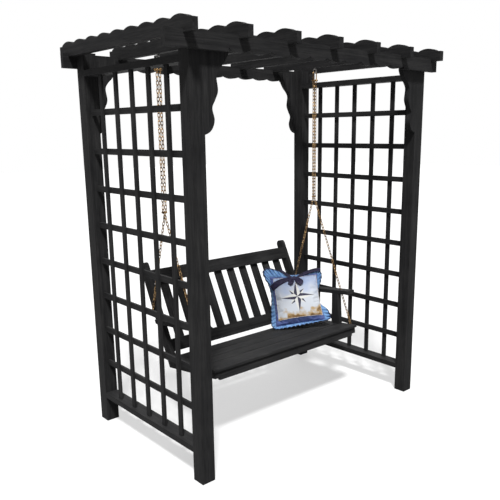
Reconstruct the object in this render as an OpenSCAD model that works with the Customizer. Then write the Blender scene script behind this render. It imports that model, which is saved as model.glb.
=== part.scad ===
// Arbor swing: a four-post garden arbor with lattice sides and lobed rafters,
// and a slatted bench that hangs in it on two pairs of chains.
// Millimetres. Z is up, the arbor's front looks along -Y, and the origin is on
// the floor at the middle of the four posts.

/* [Arbor] */
// Width over the outer faces of the posts
arbor_w = 2050; // [1900:5:2400]
// Depth over the outer faces of the posts
arbor_d = 1232; // [1150:2:1400]
// Side of a square post
post_side = 89; // [80:1:110]
// Height of the underside of the headers
header_z = 2420; // [2300:5:2600]
// Thickness of the boards of the roof and the brackets
board_t = 38; // [32:1:45]
// Depth of a header board
header_h = 89; // [84:1:120]
// How far a header board reaches past the posts at each end, when centred
header_over = 125; // [100:1:200]
// How far each header stands off the middle, the front one left and the back one right
header_shift = 36; // [0:1:40]

/* [Roof] */
// Depth of a rafter at the top of its lobes
rafter_h = 89; // [80:1:120]
// How far a rafter reaches past the posts at each end
rafter_over = 111; // [90:1:200]
// Distance of the middle of an end rafter outside the posts
end_rafter_out = 35.5; // [24:0.5:60]
// How deep a rafter is let down over the headers
rafter_lap = 19; // [10:1:30]
// Height of the lobes on the rafters and the headers
lobe_rise = 19; // [10:1:24]
// Width of one lobe on a rafter
rafter_lobe = 153.4; // [140:0.2:156]
// Length of the flat at each end of a rafter
rafter_end = 22; // [15:1:36]
// Height of the flat end of a rafter
rafter_end_h = 65; // [50:1:70]
// Width of one lobe on a header
header_lobe = 152; // [140:1:152]

/* [Brackets] */
// How far a bracket reaches along the header
bracket_reach = 168; // [140:1:172]
// How far a bracket reaches down from the header
bracket_drop = 421; // [380:1:460]

/* [Lattice] */
// Height of the underside of the bottom rails
low_rail_z = 177; // [100:1:250]
// Thickness of the lattice's top and bottom rails
rail_t = 38; // [30:1:45]
// Clear height between a top rail and a header
top_rail_gap = 16; // [5:1:60]
// Thickness of a lattice slat
lattice_t = 15; // [10:1:20]
// Width of an upright lattice slat
upright_w = 33; // [25:1:45]
// Width of a crossbar
crossbar_w = 38; // [25:1:45]
// Distance between the middles of two uprights
upright_pitch = 183.5; // [160:0.5:195]
// Distance between the middles of two crossbars
crossbar_pitch = 243.6; // [220:0.2:250]
// Height of the middle of the lowest crossbar over its bottom rail
crossbar_first = 222; // [150:1:240]
// How far the uprights are set in from the outer face of the posts
lattice_inset = 22; // [15:1:28]

/* [Hanging] */
// Distance of the hanging point behind the middle of the arbor
hang_y = 160; // [120:1:200]
// Height of the pins that join the upper chains to the lower ones
join_z = 1504; // [1450:1:1550]
// Radius of the chain's wire
wire_r = 2.5; // [2:0.1:2.7]
// Radius of a link's round end, to the middle of the wire
link_r = 7; // [6.8:0.1:7.2]
// Distance from one link to the next
link_pitch = 24; // [22:0.5:30]
// Clearance between two links that bear on each other
link_gap = 0.3; // [0.2:0.05:0.4]
// Radius of the pins in the shackles and joints
pin_r = 4; // [3.6:0.1:4.1]
// Distance from the middle of a pin to each upper strand
strand_off = 10.5; // [10:0.1:12]
// Distance from the middle of a pin to each lower chain
leg_off = 3.2; // [2.8:0.1:3.6]

/* [Seat] */
// Clearance between the ends of the seat slats and the front chains
seat_clear = 4.7; // [2:0.1:20]
// Height of the front edge of the seat
seat_z = 538; // [480:1:580]
// Distance of the front edge of the seat in front of the middle of the arbor
seat_front = 321; // [300:1:340]
// Backward tilt of the seat in degrees
seat_tilt = 6; // [4:0.5:8]
// Thickness of a seat slat
slat_t = 18; // [15:1:22]
// Width of the front seat slat
front_slat_w = 155; // [140:1:165]
// Width of each other seat slat
seat_slat_w = 118; // [100:1:121]
// Gap between two seat slats
seat_slat_gap = 4.5; // [3:0.5:8]
// Radius of the front slat's nose
nose_r = 9; // [4:1:14]
// Thickness of the seat's side rails, stiles and arm posts
frame_t = 38; // [32:1:42]
// Distance from the middle of the seat to the outer face of the side rails and stiles
side_rail_x = 688; // [660:0.5:688.5]
// Depth of a side rail at its front end
side_rail_h = 44; // [40:1:58]
// Depth of a side rail under the stiles
side_rail_back_h = 58; // [60:1:90]
// Depth of the apron, the rear rail and the centre support
apron_h = 60; // [50:1:72]
// Thickness of the apron
apron_t = 22; // [16:1:26]
// How far the front slat stands over the apron
apron_set = 12; // [6:1:16]

/* [Back] */
// Distance of the foot of the back behind the middle of the arbor
back_y = 195.6; // [190:0.2:215]
// Height of the foot of the back
back_z = 520.7; // [515:0.1:540]
// Lean of the back in degrees from upright
back_tilt = 26.2; // [22:0.2:28]
// Height of the lower back rail
back_rail_low_h = 89; // [70:1:95]
// Height of the upper back rail
back_rail_top_h = 95; // [70:1:100]
// Height of the back from its foot to the top of the upper rail
back_h = 601; // [560:1:640]
// Thickness of the back rails
back_rail_t = 25; // [19:1:28]
// Thickness of a back slat
back_slat_t = 16; // [12:1:20]
// Width of a back slat
back_slat_w = 63.5; // [50:0.5:75]
// Distance between the middles of two back slats
back_slat_pitch = 123.2; // [112:0.2:125]
// Depth of a stile
stile_w = 63; // [58:1:80]
// How far a stile stands over the upper back rail
stile_over = 68; // [42:1:80]

/* [Arms] */
// Height of the front edge of an arm
arm_z = 802.5; // [780:0.5:820]
// Distance of the front of an arm in front of the middle of the arbor
arm_front = 256; // [240:1:290]
// Backward tilt of an arm in degrees
arm_tilt = 6; // [2:0.5:8]
// Thickness of an arm
arm_t = 28; // [20:1:32]
// Width of an arm
arm_w = 80; // [70:1:115]
// Width of an arm outside its front chain
arm_out = 24; // [20:1:32]
// Width of an arm post at the seat
arm_post_w = 67; // [55:1:100]
// Width of an arm post under the arm
arm_post_top_w = 52; // [50:1:88]
// Distance of an arm post's foot behind the front of the arm
arm_post_set = 78; // [45:1:90]

/* [Pillow] */
// Side of the stuffed pillow
pillow_side = 366; // [340:1:380]
// Thickness of the pillow at its crown
pillow_t = 118; // [90:1:130]
// How far the pillow's sides draw in between its corners
pillow_draw = 20; // [6:1:28]
// Thickness of the pillow's seam
seam_t = 6; // [4:0.5:8]
// Width of the ruffle round the pillow
ruffle_w = 44; // [30:1:50]
// Half the height of the ruffle's pleats
ruffle_wave = 7; // [4:0.5:9]
// Thickness of the ruffle
ruffle_t = 3; // [2:0.5:4]
// Number of pleats on each side of the ruffle
pleats = 11; // [8:1:12]
// Distance of the pillow from the middle of the seat
pillow_x = 434; // [300:1:436]
// Distance of the pillow behind the front edge of the seat, along the seat
pillow_y = 371; // [300:1:374]
// Turn of the pillow towards the seat's middle in degrees
pillow_turn = 44; // [40:0.5:46]
// Lean of the pillow in degrees from square to the seat
pillow_lean = 21; // [18:0.5:23]
// Turn of the pillow in its own plane in degrees
pillow_roll = 4; // [0:0.5:5]

/* [Fasteners] */
// Radius of a wood screw
screw_r = 2.4; // [2:0.1:3]
// Radius of a screw's countersunk head
screw_head_r = 4.8; // [4:0.1:6]
// Length of a rafter screw
screw_len = 75; // [60:1:85]
// Length of a seat screw
seat_screw_len = 40; // [30:1:45]
// Length of a header screw
header_screw_len = 95; // [70:1:120]
// Radius of a dowel
dowel_r = 6; // [4:0.5:9]
// Length of a dowel
dowel_len = 60; // [40:1:80]
// Length of a bracket screw
bracket_screw_len = 65; // [50:1:72]
// Clearance round a screw, bolt or pin in its hole
hole_gap = 0.05; // [0.03:0.01:0.1]

/* [Hidden] */
$fn = 48;
big = 4000;

// Arbor frame
post_x = arbor_w / 2 - post_side;
post_y = arbor_d / 2 - post_side;
header_top = header_z + header_h;
rafter_z = header_top - rafter_lap;
header_len = arbor_w + 2 * header_over;
rafter_count = 7;
rafter_len = arbor_d + 2 * rafter_over;
rafter_pitch = (arbor_w / 2 + end_rafter_out) / 3;
rafter_lobes = floor((rafter_len - 2 * rafter_end) / rafter_lobe);
rafter_valley = rafter_h - lobe_rise;
header_lobes = 2 * floor((post_x - bracket_reach) / header_lobe);

// Lattice
upright_x = arbor_w / 2 - lattice_inset - lattice_t;
crossbar_x = upright_x - lattice_t;
low_rail_top = low_rail_z + rail_t;
top_rail_z = header_z - top_rail_gap - rail_t;
upright_count = 2 * floor((post_y - upright_w) / upright_pitch) + 1;
crossbar_z0 = low_rail_top + crossbar_first;
crossbar_count = floor((top_rail_z - crossbar_z0 - crossbar_w / 2) / crossbar_pitch) + 1;

// Hanging hardware
hang_x = 2 * rafter_pitch;
eye_wire = 4.5;
eye_r = 15;
bow_wire = 4;
bow_half = strand_off + wire_r + 1 + bow_wire;
bow_gap = 0.4;
eye_z = rafter_z - eye_r - eye_wire - 3;
pivot_z = eye_z - eye_r + eye_wire + bow_wire + bow_gap;
bow_leg = 46;
ear_r = 8;
ear_t = 8;
shackle_pin_z = pivot_z - bow_half - bow_leg;
eye_shank_r = 4;
eye_shank_depth = 65;
nut_r = 7.5;
nut_t = 6;

// Seat eyes: the plane of each ring holds X and the line of its chain
seat_eye_r = 11;
seat_eye_wire = 3.5;
eye_end = 10;
join = [hang_x, hang_y, join_z];
front_eye = [hang_x + leg_off, -259.5, 500];
rear_eye = [hang_x - leg_off, 372, 787];
washer_r = 9;
washer_t = 1.5;
pin_head_r = 7;
pin_head_t = 3;

// Seat
seat_half = front_eye.x - link_r - wire_r - seat_clear;
rail_in = side_rail_x - frame_t;
slat_pitch = seat_slat_w + seat_slat_gap;
seat_slats_n = 3;
seat_depth = front_slat_w + seat_slats_n * slat_pitch;
rear_rail_y = seat_depth - 44;
back_lean = back_tilt - seat_tilt;
back_foot_y = (back_y + seat_front) * cos(seat_tilt) - (back_z - seat_z) * sin(seat_tilt);
back_foot_z = (back_y + seat_front) * sin(seat_tilt) + (back_z - seat_z) * cos(seat_tilt);
side_rail_end = back_foot_y + stile_w / cos(back_lean) - (back_foot_z + slat_t) * tan(back_lean);
lap_x = side_rail_x - frame_t / 2;
stile_top = back_h + stile_over;
stile_foot = -140;
back_slats_n = 10;
back_slat_end = 8;
arm_out_x = front_eye.x + arm_out;
arm_x = arm_out_x - arm_w;
arm_hole_r = link_r + wire_r + 3;
arm_post_y0 = -arm_front + arm_post_set;

// Screws of the seat
slat_screw_x = rail_in + 12;
back_screw_len = 30;
post_screw_len = 55;
arm_end_screw = stile_w + 25;

function seat_top(y) = seat_z - (y + seat_front) * tan(seat_tilt);
function arm_under(y) = arm_z - (y + arm_front) * tan(arm_tilt) - arm_t / cos(arm_tilt);
function rail_under(y) =
    -slat_t - side_rail_h - (side_rail_back_h - side_rail_h) * (y - apron_set) / (side_rail_end - apron_set);
function slat_start(i) = i == 0 ? 0 : front_slat_w + seat_slat_gap + (i - 1) * slat_pitch;
function slat_width(i) = i == 0 ? front_slat_w : seat_slat_w;

wood = [0.17, 0.17, 0.17];
brass = [0.62, 0.45, 0.22];
steel = [0.4, 0.4, 0.4];
navy = [0.09, 0.12, 0.28];
sky = [0.55, 0.72, 0.9];
cream = [0.86, 0.88, 0.84];

// Puts a piece that is drawn at the right back corner at any corner
module corner(side, end) {
    mirror([side < 0 ? 1 : 0, 0, 0]) mirror([0, end < 0 ? 1 : 0, 0]) children();
}

// Puts a piece that is drawn on the right on either side
module on_side(side) {
    mirror([side < 0 ? 1 : 0, 0, 0]) children();
}

// Extrudes an outline in (Y, Z) from one X to another
module along_x(x0, x1) {
    translate([x0, 0, 0]) rotate([90, 0, 90]) linear_extrude(x1 - x0) children();
}

// A round bar along X
module bar_x(x0, x1, r) {
    translate([x0, 0, 0]) rotate([0, 90, 0]) cylinder(r = r, h = x1 - x0);
}

// Screws, bolts and nuts

// A wood screw with its flat head at the origin and its tip down
module screw(length) {
    translate([0, 0, -length]) cylinder(r = screw_r, h = length - screw_head_r / 2);
    translate([0, 0, -screw_head_r]) cylinder(r1 = screw_r, r2 = screw_head_r, h = screw_head_r);
}

module screw_hole(length) {
    translate([0, 0, -length - 1]) cylinder(r = screw_r + hole_gap, h = length + 1);
    translate([0, 0, -screw_head_r - hole_gap])
        cylinder(r1 = screw_r + hole_gap, r2 = screw_head_r + 3 * hole_gap, h = screw_head_r + 2 * hole_gap);
}

// A piece along X from one X to another, round or with some other number of sides, with a bore
module collar_x(x0, x1, r, bore, sides) {
    difference() {
        translate([x0, 0, 0]) rotate([0, 90, 0]) cylinder(r = r, h = x1 - x0, $fn = sides);
        bar_x(x0 - 1, x1 + 1, bore + hole_gap);
    }
}

module nut_x(x0, bore) {
    collar_x(x0, x0 + nut_t, nut_r, bore, 6);
}

module washer_x(x0, bore) {
    collar_x(x0, x0 + washer_t, washer_r, bore, $fn);
}

// Timber with lobes

module lobe(width, rise) {
    r = (width * width / 4 + rise * rise) / (2 * rise);
    intersection() {
        translate([0, rise - r]) circle(r = r, $fn = 180);
        translate([-width / 2, -1]) square([width, rise + 2]);
    }
}

module lobe_row(count, width, rise) {
    for (i = [0 : count - 1]) translate([(i - (count - 1) / 2) * width, 0]) lobe(width, rise);
}

module header_outline() {
    lobes_w = header_lobes * header_lobe;
    straight = (header_len - lobes_w) / 2;
    translate([-header_len / 2, lobe_rise]) square([header_len, header_h - lobe_rise]);
    for (x = [-header_len / 2, lobes_w / 2]) translate([x, 0]) square([straight, header_h]);
    translate([0, lobe_rise]) mirror([0, 1]) lobe_row(header_lobes, header_lobe, lobe_rise);
}

module rafter_outline() {
    lobes_w = rafter_lobes * rafter_lobe;
    difference() {
        union() {
            translate([-rafter_len / 2, 0]) square([rafter_len, rafter_end_h]);
            translate([-lobes_w / 2, 0]) square([lobes_w, rafter_valley]);
            translate([0, rafter_valley]) lobe_row(rafter_lobes, rafter_lobe, lobe_rise);
        }
        for (side = [0, 1])
            mirror([side, 0]) translate([arbor_d / 2, -1]) square([board_t, rafter_lap + 1]);
    }
}

// A smooth curve through a list of points
function curve(pts, steps) = [
    for (i = [0 : len(pts) - 2], k = [0 : steps - 1])
        let (t = k / steps, a = pts[max(i - 1, 0)], b = pts[i], c = pts[i + 1],
             d = pts[min(i + 2, len(pts) - 1)])
        ((2 * b) + (c - a) * t + (2 * a - 5 * b + 4 * c - d) * t * t
            + (3 * b - a - 3 * c + d) * t * t * t) / 2
];

// The scrolled edge of a bracket, as shares of its reach and drop
bracket_edge = [
    [0, 0], [0.18, 0.03], [0.32, 0.09], [0.39, 0.19], [0.31, 0.325], [0.44, 0.43], [0.55, 0.54],
    [0.5, 0.71], [0.62, 0.8], [0.79, 0.865], [0.94, 0.95], [1, 1]
];

module bracket_outline() {
    edge = curve([for (p = bracket_edge) [p.x * bracket_reach, p.y * bracket_drop]], 5);
    top = bracket_drop + header_h - rafter_lap - 2;
    polygon(concat(edge, [[bracket_reach, bracket_drop], [bracket_reach, top], [0, top]]));
}

// Arbor

// The two screws that hold a header to a post
module at_header_screws() {
    for (x = [0.3, 0.7])
        translate([post_x + x * post_side, arbor_d / 2 + board_t, header_z + (0.2 + 0.6 * x) * header_h])
            rotate([-90, 0, 0]) children();
}

// The dowels that hold a rail's end in a post
module at_dowels() {
    for (z = [low_rail_z, top_rail_z], x = [0.3, 0.7])
        translate([post_x + x * post_side, post_y, z + rail_t / 2]) rotate([90, 0, 0]) children();
}

// The screws that hold a bracket to its header
module at_bracket_screws() {
    for (x = [0.25, 0.75])
        translate([post_x - x * bracket_reach, arbor_d / 2 - board_t, header_z + header_h * 0.45])
            rotate([90, 0, 0]) children();
}

// The screws that hold the rafters on the headers
module at_rafter_screws() {
    for (i = [0 : rafter_count - 1], end = [-1, 1])
        translate([(i - 3) * rafter_pitch, end * (arbor_d + board_t) / 2, rafter_z + 0.56 * rafter_h])
            children();
}

module post(side, end) {
    color(wood) corner(side, end) difference() {
        translate([post_x, post_y, 0]) cube([post_side, post_side, header_top]);
        at_header_screws() screw_hole(header_screw_len);
        at_dowels() dowel(hole_gap);
    }
}

module dowel(extra) {
    translate([0, 0, -dowel_len / 2 - extra]) cylinder(r = dowel_r + extra, h = dowel_len + 2 * extra);
}

module header(end) {
    color(wood) difference() {
        mirror([0, end < 0 ? 1 : 0, 0])
            translate([end * header_shift, arbor_d / 2 + board_t, header_z])
                rotate([90, 0, 0]) linear_extrude(board_t) header_outline();
        for (side = [-1, 1]) {
            corner(side, end) at_header_screws() screw_hole(header_screw_len);
            corner(side, end) at_bracket_screws() screw_hole(bracket_screw_len);
        }
        at_rafter_screws() screw_hole(screw_len);
    }
}

module rafter(i) {
    color(wood) difference() {
        translate([(i - 3) * rafter_pitch - board_t / 2, 0, rafter_z])
            rotate([90, 0, 90]) linear_extrude(board_t) rafter_outline();
        at_rafter_screws() {
            screw_hole(screw_len);
            cylinder(r = screw_head_r + 0.5, h = rafter_h);
        }
        for (side = [-1, 1])
            on_side(side) translate([hang_x, hang_y, rafter_z - 1])
                cylinder(r = eye_shank_r + hole_gap, h = eye_shank_depth + 2);
    }
}

module bracket(side, end) {
    color(wood) corner(side, end) difference() {
        translate([post_x, arbor_d / 2, header_z - bracket_drop]) rotate([90, 0, 0])
            linear_extrude(board_t) mirror([1, 0]) bracket_outline();
        at_bracket_screws() screw_hole(bracket_screw_len);
    }
}

module lattice_rail(side, z) {
    color(wood) on_side(side) difference() {
        translate([post_x, -post_y, z]) cube([post_side, 2 * post_y, rail_t]);
        for (end = [-1, 1]) corner(1, end) at_dowels() dowel(hole_gap);
    }
}

module uprights(side) {
    color(wood) on_side(side) for (i = [0 : upright_count - 1])
        translate([upright_x, (i - (upright_count - 1) / 2) * upright_pitch - upright_w / 2, low_rail_top])
            cube([lattice_t, upright_w, top_rail_z - low_rail_top]);
}

module crossbars(side) {
    color(wood) on_side(side) for (i = [0 : crossbar_count - 1])
        translate([crossbar_x, -post_y, crossbar_z0 + i * crossbar_pitch - crossbar_w / 2])
            cube([lattice_t, 2 * post_y, crossbar_w]);
}

module header_screws() {
    color(steel) for (side = [-1, 1], end = [-1, 1]) corner(side, end) at_header_screws() screw(header_screw_len);
}

module rafter_screws() {
    color(steel) at_rafter_screws() screw(screw_len);
}

module frame_fixings() {
    color(wood) for (side = [-1, 1], end = [-1, 1]) corner(side, end) {
        at_dowels() dowel(0);
        at_bracket_screws() screw(bracket_screw_len);
    }
}

// Hanging hardware

// Puts a piece at a hanging point, turned half round on the left
module at_hang(side, z) {
    translate([side * hang_x, hang_y, z]) rotate([0, 0, side < 0 ? 180 : 0]) children();
}

module hanger_eye(side) {
    color(steel) at_hang(side, eye_z) {
        rotate([0, 90, 0]) rotate_extrude() translate([eye_r, 0]) circle(r = eye_wire);
        translate([0, 0, eye_r]) cylinder(r = eye_shank_r, h = rafter_z - eye_z - eye_r + eye_shank_depth);
    }
}

module half_ring(r, wire) {
    rotate([90, 0, 0]) rotate_extrude(angle = 180) translate([r, 0]) circle(r = wire);
}

module shackle(side) {
    color(brass) at_hang(side, pivot_z - bow_half) {
        difference() {
            union() {
                half_ring(bow_half, bow_wire);
                for (x = [-bow_half, bow_half]) {
                    translate([x, 0, -bow_leg]) cylinder(r = bow_wire, h = bow_leg);
                    translate([0, 0, -bow_leg]) bar_x(x - ear_t / 2, x + ear_t / 2, ear_r);
                }
            }
            translate([0, 0, -bow_leg]) bar_x(-bow_half - ear_t, bow_half + ear_t, pin_r + hole_gap);
        }
        translate([0, 0, -bow_leg]) pin(bow_half + ear_t / 2);
    }
}

// A pin along X with a head and a nut, each clear of what it holds
module pin(half) {
    x = half + link_gap;
    bar_x(-x, x + nut_t + 2, pin_r);
    bar_x(-x - pin_head_t, -x, pin_head_r);
    nut_x(x, pin_r);
}

module link(straight) {
    for (end = [0, 1]) mirror([0, 0, end]) translate([0, 0, straight / 2]) half_ring(link_r, wire_r);
    for (x = [-link_r, link_r]) translate([x, 0, -straight / 2]) cylinder(r = wire_r, h = straight);
}

// Turns Z along the line from q up to p, with its origin at q
module along_line(p, q) {
    translate(q) rotate([-atan2(p.y - q.y, p.z - q.z), 0, 0]) children();
}

// A chain from the bar p down to the bar q, which both lie along X
module chain(p, q, bar_p, bar_q) {
    bite = 2 * link_r - 2 * wire_r - link_gap;
    room = link_r - wire_r - link_gap;
    span = norm(p - q) - 2 * room + bar_p + bar_q;
    count = 2 * round((span / link_pitch - 1) / 2) + 1;
    straight = (span - (count - 1) * bite) / count;
    along_line(p, q) for (i = [0 : count - 1])
        translate([0, 0, room - bar_q + straight / 2 + i * (straight + bite)])
            rotate([0, 0, i % 2 == 0 ? 90 : 0]) link(straight);
}

module upper_chain(side) {
    color(brass) on_side(side) for (x = [-strand_off, strand_off])
        chain([hang_x + x, hang_y, shackle_pin_z], [hang_x + x, hang_y, join_z], pin_r, pin_r);
}

module join_pin(side) {
    color(brass) at_hang(side, join_z) pin(strand_off + wire_r + 0.5);
}

module lower_chain(side, eye) {
    color(brass) on_side(side) chain([eye.x, join.y, join.z], eye, pin_r, seat_eye_wire);
}

// An eye bolt through timber, whose ring holds the end of a chain
module seat_eye(eye) {
    x = rail_in - eye.x;
    along_line(join, eye) translate([0, 0, -seat_eye_r]) {
        rotate([90, 0, 0]) rotate_extrude() translate([seat_eye_r, 0]) circle(r = seat_eye_wire);
        bar_x(x - eye_end, -seat_eye_r, eye_shank_r);
        washer_x(x - washer_t, eye_shank_r);
        nut_x(x - washer_t - nut_t, eye_shank_r);
    }
}

module seat_eye_hole(eye) {
    along_line(join, eye) translate([0, 0, -seat_eye_r])
        bar_x(rail_in - eye.x - 1, side_rail_x - eye.x + 1, eye_shank_r + hole_gap);
}

module seat_eyes() {
    color(steel) for (side = [-1, 1]) on_side(side) {
        seat_eye(front_eye);
        seat_eye(rear_eye);
    }
}

// Seat frame and its outlines

module seat_place() {
    translate([0, -seat_front, seat_z]) rotate([-seat_tilt, 0, 0]) children();
}

module back_place() {
    translate([0, back_y, back_z]) rotate([-back_tilt, 0, 0]) children();
}

module seat_plane() {
    translate([-seat_front, seat_z]) rotate(-seat_tilt) children();
}

module back_plane() {
    translate([back_y, back_z]) rotate(-back_tilt) children();
}

module at_slat_screws() {
    seat_place() for (x = [-slat_screw_x, 0, slat_screw_x], i = [0 : seat_slats_n], share = [0.25, 0.7])
        translate([x, slat_start(i) + share * slat_width(i), 0]) children();
}

module at_back_screws() {
    n = back_rail_t + back_slat_t;
    rails = [back_rail_low_h / 2, back_h - back_rail_top_h / 2];
    back_place() for (i = [0 : back_slats_n - 1], s = rails)
        translate([(i - (back_slats_n - 1) / 2) * back_slat_pitch, n, s]) rotate([-90, 0, 0]) children();
}

// Through the stiles into the ends of the back rails
module at_rail_screws() {
    low = [0.3 * back_rail_low_h, 0.7 * back_rail_low_h];
    top = [back_h - 0.7 * back_rail_top_h, back_h - 0.3 * back_rail_top_h];
    for (side = [-1, 1], s = concat(low, top)) on_side(side) back_place()
        translate([side_rail_x, back_rail_t / 2, s]) rotate([0, 90, 0]) children();
}

// Through the laps of the stiles and the side rails
module at_lap_screws() {
    for (side = [-1, 1], s = [-62, -86]) on_side(side) back_place()
        translate([side_rail_x, stile_w / 2, s]) rotate([0, 90, 0]) children();
}

// Through the side rails into the ends of the apron
module at_apron_screws() {
    for (side = [-1, 1], z = [0.3, 0.7]) on_side(side) seat_place()
        translate([side_rail_x, apron_set + apron_t / 2, -slat_t - z * side_rail_h])
            rotate([0, 90, 0]) children();
}

// Through the apron into the end of the centre support
module at_support_screws() {
    for (z = [0.5, 0.8]) seat_place()
        translate([0, apron_set, -slat_t - z * apron_h]) rotate([90, 0, 0]) children();
}

// Down through the arms into the arm posts
module at_arm_screws() {
    y1 = arm_post_y0 + arm_post_w;
    for (side = [-1, 1], step = [0.25, 0.75])
        translate([side * lap_x, y1 - step * arm_post_top_w, arm_under(y1 - step * arm_post_top_w)])
            rotate([-arm_tilt, 0, 0]) translate([0, 0, arm_t]) children();
}

// Through the stiles into the rear ends of the arms
module at_arm_end_screws() {
    drop = tan(arm_tilt);
    mid = arm_z - arm_t / 2 - (back_y + arm_front) * drop;
    s = (mid - back_z) / (cos(back_tilt) + sin(back_tilt) * drop);
    for (side = [-1, 1]) back_place()
        translate([side * lap_x, stile_w, s]) rotate([-90, 0, 0]) children();
}

// Between the arm posts and the side rails, through a slat
module at_foot_dowels() {
    for (side = [-1, 1], y = [23, 58]) seat_place()
        translate([side * slat_screw_x, (arm_post_y0 + y + seat_front) / cos(seat_tilt), 0]) children();
}

// Everything behind a line square to the lean of the back, at a distance behind its front
module behind_back(x0, x1, a) {
    along_x(x0, x1) back_plane() translate([a, -big]) square([big, 2 * big]);
}

module side_rail(side) {
    tail = side_rail_end + frame_t;
    color(wood) difference() {
        on_side(side) difference() {
            along_x(rail_in, side_rail_x) seat_plane() polygon([
                [apron_set, -slat_t], [tail, -slat_t], [tail, rail_under(tail)],
                [apron_set, rail_under(apron_set)]
            ]);
            behind_back(rail_in - 1, side_rail_x + 1, stile_w);
            behind_back(lap_x, side_rail_x + 1, 0);
            seat_eye_hole(front_eye);
        }
        at_slat_screws() screw_hole(seat_screw_len);
        at_apron_screws() screw_hole(screw_len);
        at_lap_screws() screw_hole(back_screw_len);
        at_foot_dowels() dowel(hole_gap);
    }
}

module rear_rail() {
    color(wood) difference() {
        along_x(-rail_in, rail_in) seat_plane()
            translate([rear_rail_y, -slat_t - apron_h]) square([frame_t, apron_h]);
        at_slat_screws() screw_hole(seat_screw_len);
    }
}

module centre_support() {
    y0 = apron_set + apron_t;
    color(wood) difference() {
        along_x(-frame_t / 2, frame_t / 2) seat_plane()
            translate([y0, -slat_t - apron_h]) square([rear_rail_y - y0, apron_h]);
        at_slat_screws() screw_hole(seat_screw_len);
        at_support_screws() screw_hole(post_screw_len);
    }
}

module apron() {
    color(wood) difference() {
        along_x(-rail_in, rail_in) seat_plane()
            translate([apron_set, -slat_t - apron_h]) square([apron_t, apron_h]);
        at_apron_screws() screw_hole(screw_len);
        at_support_screws() screw_hole(post_screw_len);
    }
}

// The front slat has a round nose
module slat_outline(i) {
    translate([slat_start(i), 0]) if (i == 0) {
        intersection() {
            translate([nose_r, -nose_r]) circle(r = nose_r);
            translate([0, -nose_r]) square([nose_r, nose_r]);
        }
        translate([nose_r, -slat_t]) square([front_slat_w - nose_r, slat_t]);
        translate([0, -slat_t]) square([nose_r, slat_t - nose_r]);
    } else {
        translate([0, -slat_t]) square([seat_slat_w, slat_t]);
    }
}

// The rear slat is cut away at its ends for the stiles
module seat_slats() {
    color(wood) difference() {
        for (i = [0 : seat_slats_n]) along_x(-seat_half, seat_half) seat_plane() slat_outline(i);
        for (side = [-1, 1]) on_side(side) along_x(rail_in, seat_half + 1) stile_outline();
        at_slat_screws() screw_hole(seat_screw_len);
        at_foot_dowels() dowel(hole_gap);
    }
}

// A stile laps the outside of the side rail and ends flush with its underside
module stile_outline() {
    difference() {
        back_plane() {
            translate([0, stile_foot]) square([stile_w, stile_top - stile_w / 2 - stile_foot]);
            translate([stile_w / 2, stile_top - stile_w / 2]) circle(r = stile_w / 2, $fn = 96);
        }
        seat_plane() polygon([
            [0, rail_under(0)], [big, rail_under(big)], [big, -big], [0, -big]
        ]);
    }
}

module stile(side) {
    color(wood) difference() {
        on_side(side) difference() {
            along_x(rail_in, side_rail_x) stile_outline();
            along_x(rail_in - 1, lap_x) seat_plane() translate([0, -big]) square([big, big - slat_t]);
            seat_eye_hole(rear_eye);
        }
        at_rail_screws() screw_hole(screw_len);
        at_lap_screws() screw_hole(back_screw_len);
        at_arm_end_screws() screw_hole(arm_end_screw);
    }
}

module back_rail(s, height) {
    color(wood) difference() {
        along_x(-rail_in, rail_in) back_plane() translate([0, s]) square([back_rail_t, height]);
        at_back_screws() screw_hole(back_screw_len);
        at_rail_screws() screw_hole(screw_len);
    }
}

module back_slats() {
    color(wood) difference() {
        back_place() for (i = [0 : back_slats_n - 1])
            translate([(i - (back_slats_n - 1) / 2) * back_slat_pitch - back_slat_w / 2, back_rail_t, back_slat_end])
                cube([back_slat_w, back_slat_t, back_h - 2 * back_slat_end]);
        at_back_screws() screw_hole(back_screw_len);
    }
}

module arm(side) {
    color(wood) difference() {
        on_side(side) difference() {
            along_x(arm_x, arm_out_x) difference() {
                translate([-arm_front, arm_z]) rotate(-arm_tilt) translate([0, -arm_t]) square([big, arm_t]);
                back_plane() translate([0, -big]) square([2 * big, 2 * big]);
            }
            along_line(join, front_eye) cylinder(r = arm_hole_r, h = join_z);
        }
        at_arm_screws() screw_hole(post_screw_len);
        at_arm_end_screws() screw_hole(arm_end_screw);
    }
}

module arm_posts() {
    y0 = arm_post_y0;
    y1 = y0 + arm_post_w;
    top0 = y1 - arm_post_top_w;
    color(wood) difference() {
        for (side = [-1, 1]) on_side(side) along_x(rail_in, side_rail_x) polygon([
            [y0, seat_top(y0)], [y1, seat_top(y1)], [y1, arm_under(y1)], [top0, arm_under(top0)]
        ]);
        at_arm_screws() screw_hole(post_screw_len);
        at_foot_dowels() dowel(hole_gap);
    }
}

module seat_fixings() {
    color(steel) {
        at_slat_screws() screw(seat_screw_len);
        at_back_screws() screw(back_screw_len);
        at_rail_screws() screw(screw_len);
        at_lap_screws() screw(back_screw_len);
        at_apron_screws() screw(screw_len);
        at_support_screws() screw(post_screw_len);
        at_arm_screws() screw(post_screw_len);
        at_arm_end_screws() screw(arm_end_screw);
        at_foot_dowels() dowel(0);
    }
}

// Pillow

pillow_half = pillow_side / 2;
pillow_grid = 18;
ruffle_steps = 6;
ribbon_grid = 24;
edge_gap = 0.3;

function drawn(v, half, draw) = half - draw * (1 - v * v);
function crown(u, v) = pow(max((1 - u * u) * (1 - v * v), 0), 0.42);
function bulge(u, v) = seam_t / 2 + (pillow_t - seam_t) / 2 * crown(u, v);
function on_pillow(u, v, side, off) = [
    u * drawn(v, pillow_half, pillow_draw), side * (bulge(u, v) + off), v * drawn(u, pillow_half, pillow_draw)
];

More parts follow.
